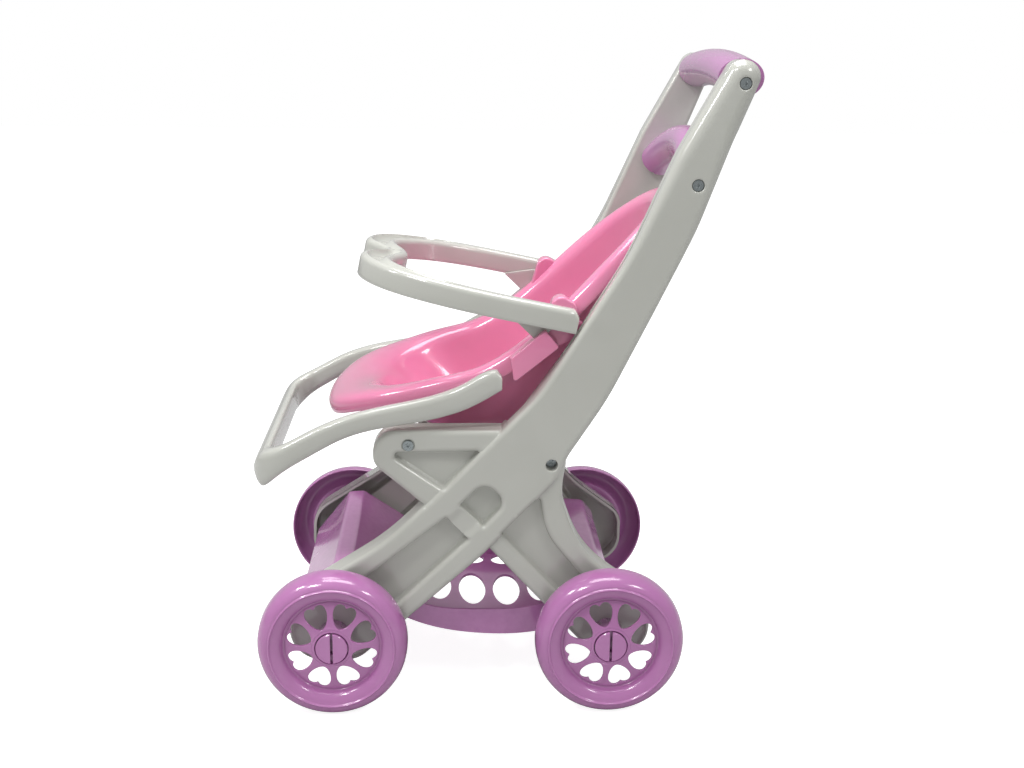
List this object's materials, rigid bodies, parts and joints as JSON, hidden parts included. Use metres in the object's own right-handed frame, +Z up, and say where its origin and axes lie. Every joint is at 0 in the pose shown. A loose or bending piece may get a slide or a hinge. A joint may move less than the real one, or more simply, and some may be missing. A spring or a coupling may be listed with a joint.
{
  "type": "doll stroller",
  "caption": "Plastic doll stroller with X-crossed side frames, a bucket seat, a heart-shaped bumper loop, a footrest loop, a basket and spoked wheels with heart-shaped holes.",
  "frame": {"origin": "on the floor, centre of the footprint's bounding box", "axes": "+Z up, -Y towards the stroller's front (the way it is pushed), +X towards its left side"},
  "size_m": [0.303, 0.4101, 0.5411],
  "materials": {
    "grey_plastic": "smooth moulded, slightly warm light grey, glossy",
    "pink_plastic": "smooth moulded, pink, glossy",
    "lilac_plastic": "smooth moulded, lilac, glossy",
    "steel_screw": "zinc-plated cross-recess screws"
  },
  "bodies": {
    "chassis": {"left_frame_shell": "grey_plastic", "right_frame_shell": "grey_plastic", "left_arm_cover": "grey_plastic", "right_arm_cover": "grey_plastic", "footrest_loop": "grey_plastic", "seat_shell": "pink_plastic", "handle_front_half": "lilac_plastic", "handle_rear_half": "lilac_plastic", "crossbar_front_half": "lilac_plastic", "crossbar_rear_half": "lilac_plastic", "front_crossmember": "lilac_plastic", "rear_crossmember": "lilac_plastic", "basket": "lilac_plastic", "front_left_axle_pin": "lilac_plastic", "front_right_axle_pin": "lilac_plastic", "rear_left_axle_pin": "lilac_plastic", "rear_right_axle_pin": "lilac_plastic", "handle_screws": "steel_screw", "crossbar_screws": "steel_screw", "lug_screws": "steel_screw", "joint_screws": "steel_screw", "front_crossmember_screws": "steel_screw", "rear_crossmember_screws": "steel_screw"},
    "bumper": {"bumper_bar": "grey_plastic"},
    "front_left_wheel_body": {"front_left_wheel": "lilac_plastic"},
    "front_right_wheel_body": {"front_right_wheel": "lilac_plastic"},
    "rear_left_wheel_body": {"rear_left_wheel": "lilac_plastic"},
    "rear_right_wheel_body": {"rear_right_wheel": "lilac_plastic"}
  },
  "joints": [
    {"name": "bumper_swing", "type": "hinge", "parent": "chassis", "child": "bumper", "pos_m": [0, 0.0433, 0.3315], "axis": [-1, 0, 0], "range_deg": [0, 60]},
    {"name": "front_left_wheel_spin", "type": "hinge", "parent": "chassis", "child": "front_left_wheel_body", "pos_m": [0.14, -0.1426, 0.0625], "axis": [1, 0, 0], "continuous": true},
    {"name": "front_right_wheel_spin", "type": "hinge", "parent": "chassis", "child": "front_right_wheel_body", "pos_m": [-0.14, -0.1426, 0.0625], "axis": [1, 0, 0], "continuous": true},
    {"name": "rear_left_wheel_spin", "type": "hinge", "parent": "chassis", "child": "rear_left_wheel_body", "pos_m": [0.14, 0.0892, 0.0625], "axis": [1, 0, 0], "continuous": true},
    {"name": "rear_right_wheel_spin", "type": "hinge", "parent": "chassis", "child": "rear_right_wheel_body", "pos_m": [-0.14, 0.0892, 0.0625], "axis": [1, 0, 0], "continuous": true}
  ]
}
